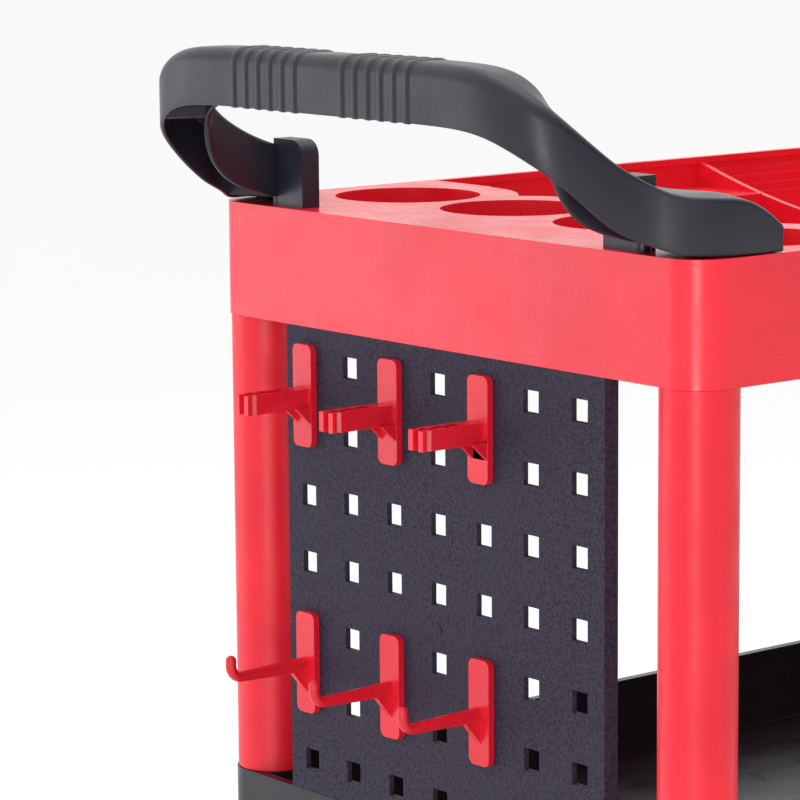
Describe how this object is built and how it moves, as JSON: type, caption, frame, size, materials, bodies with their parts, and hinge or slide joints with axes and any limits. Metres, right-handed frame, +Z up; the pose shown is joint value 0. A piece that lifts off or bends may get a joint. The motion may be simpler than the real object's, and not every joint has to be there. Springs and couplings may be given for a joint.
{
  "type": "rolling utility cart",
  "caption": "Three-tier moulded cart on swivel casters, with a bottle deck, a push handle and an end pegboard that carries lift-off hooks.",
  "frame": {"origin": "on the floor under the middle of the cart's overall length and width", "axes": "+Z up, +X from the handle end to the far end, +Y to the left of a person who pushes the cart"},
  "size_m": [0.77, 0.402, 0.9554],
  "materials": {
    "red_tray": "semi-gloss moulded",
    "black_tray": "semi-gloss moulded",
    "red_post": "semi-gloss extruded",
    "black_plug": "satin",
    "slate_handle": "satin moulded",
    "board": "fine pebbled grain",
    "red_fitting": "semi-gloss moulded",
    "tyre": "satin",
    "hub": "satin",
    "zinc": "bright zinc plate",
    "bright_steel": "bright zinc plate"
  },
  "bodies": {
    "cart": {"top_tray": "red_tray", "middle_tray": "black_tray", "bottom_tray": "black_tray", "post_upper_front_left": "red_post", "post_upper_front_right": "red_post", "post_upper_rear_left": "red_post", "post_upper_rear_right": "red_post", "post_lower_front_left": "red_post", "post_lower_front_right": "red_post", "post_lower_rear_left": "red_post", "post_lower_rear_right": "red_post", "top_plugs": "black_plug", "middle_plugs": "black_plug", "bottom_plugs": "black_plug", "top_post_screws": "bright_steel", "bottom_post_screws": "bright_steel", "handle": "slate_handle", "handle_screws": "bright_steel", "pegboard": "board", "board_straps": "bright_steel", "board_screws": "bright_steel", "caster_plate_front_left": "zinc", "caster_plate_front_right": "zinc", "caster_plate_rear_left": "zinc", "caster_plate_rear_right": "zinc", "kingpins": "bright_steel", "caster_bolts": "bright_steel"},
    "caster_front_left": {"fork_front_left": "zinc", "axle_front_left": "bright_steel", "brake_pin_left": "bright_steel"},
    "wheel_front_left": {"hub_front_left": "hub", "tyre_front_left": "tyre"},
    "caster_front_right": {"fork_front_right": "zinc", "axle_front_right": "bright_steel", "brake_pin_right": "bright_steel"},
    "wheel_front_right": {"hub_front_right": "hub", "tyre_front_right": "tyre"},
    "caster_rear_left": {"fork_rear_left": "zinc", "axle_rear_left": "bright_steel"},
    "wheel_rear_left": {"hub_rear_left": "hub", "tyre_rear_left": "tyre"},
    "caster_rear_right": {"fork_rear_right": "zinc", "axle_rear_right": "bright_steel"},
    "wheel_rear_right": {"hub_rear_right": "hub", "tyre_rear_right": "tyre"},
    "brake_left": {"brake_pedal_left": "red_fitting"},
    "brake_right": {"brake_pedal_right": "red_fitting"},
    "clip_hook_left": {"clip_hook_left": "red_fitting"},
    "clip_hook_middle": {"clip_hook_middle": "red_fitting"},
    "clip_hook_right": {"clip_hook_right": "red_fitting"},
    "rod_hook_left": {"rod_hook_left": "red_fitting"},
    "rod_hook_middle": {"rod_hook_middle": "red_fitting"},
    "rod_hook_right": {"rod_hook_right": "red_fitting"}
  },
  "joints": [
    {"name": "swivel_front_left", "type": "hinge", "parent": "cart", "child": "caster_front_left", "pos_m": [-0.229, 0.127, 0.114], "axis": [0, 0, 1], "continuous": true},
    {"name": "spin_front_left", "type": "hinge", "parent": "caster_front_left", "child": "wheel_front_left", "pos_m": [-0.263, 0.127, 0.05], "axis": [0, 1, 0], "continuous": true},
    {"name": "swivel_front_right", "type": "hinge", "parent": "cart", "child": "caster_front_right", "pos_m": [-0.229, -0.127, 0.114], "axis": [0, 0, 1], "continuous": true},
    {"name": "spin_front_right", "type": "hinge", "parent": "caster_front_right", "child": "wheel_front_right", "pos_m": [-0.263, -0.127, 0.05], "axis": [0, 1, 0], "continuous": true},
    {"name": "swivel_rear_left", "type": "hinge", "parent": "cart", "child": "caster_rear_left", "pos_m": [0.309, 0.127, 0.114], "axis": [0, 0, 1], "continuous": true},
    {"name": "spin_rear_left", "type": "hinge", "parent": "caster_rear_left", "child": "wheel_rear_left", "pos_m": [0.275, 0.127, 0.05], "axis": [0, 1, 0], "continuous": true},
    {"name": "swivel_rear_right", "type": "hinge", "parent": "cart", "child": "caster_rear_right", "pos_m": [0.309, -0.127, 0.114], "axis": [0, 0, 1], "continuous": true},
    {"name": "spin_rear_right", "type": "hinge", "parent": "caster_rear_right", "child": "wheel_rear_right", "pos_m": [0.275, -0.127, 0.05], "axis": [0, 1, 0], "continuous": true},
    {"name": "press_brake_left", "type": "hinge", "parent": "caster_front_left", "child": "brake_left", "pos_m": [-0.262, 0.127, 0.109], "axis": [0, 1, 0], "range_deg": [-13, 0]},
    {"name": "press_brake_right", "type": "hinge", "parent": "caster_front_right", "child": "brake_right", "pos_m": [-0.262, -0.127, 0.109], "axis": [0, 1, 0], "range_deg": [-13, 0]},
    {"name": "lift_clip_hook_left", "type": "slide", "parent": "cart", "child": "clip_hook_left", "axis": [0, 0, 1], "range_m": [0, 0.005]},
    {"name": "lift_clip_hook_middle", "type": "slide", "parent": "cart", "child": "clip_hook_middle", "axis": [0, 0, 1], "range_m": [0, 0.005]},
    {"name": "lift_clip_hook_right", "type": "slide", "parent": "cart", "child": "clip_hook_right", "axis": [0, 0, 1], "range_m": [0, 0.005]},
    {"name": "lift_rod_hook_left", "type": "slide", "parent": "cart", "child": "rod_hook_left", "axis": [0, 0, 1], "range_m": [0, 0.005]},
    {"name": "lift_rod_hook_middle", "type": "slide", "parent": "cart", "child": "rod_hook_middle", "axis": [0, 0, 1], "range_m": [0, 0.005]},
    {"name": "lift_rod_hook_right", "type": "slide", "parent": "cart", "child": "rod_hook_right", "axis": [0, 0, 1], "range_m": [0, 0.005]}
  ]
}
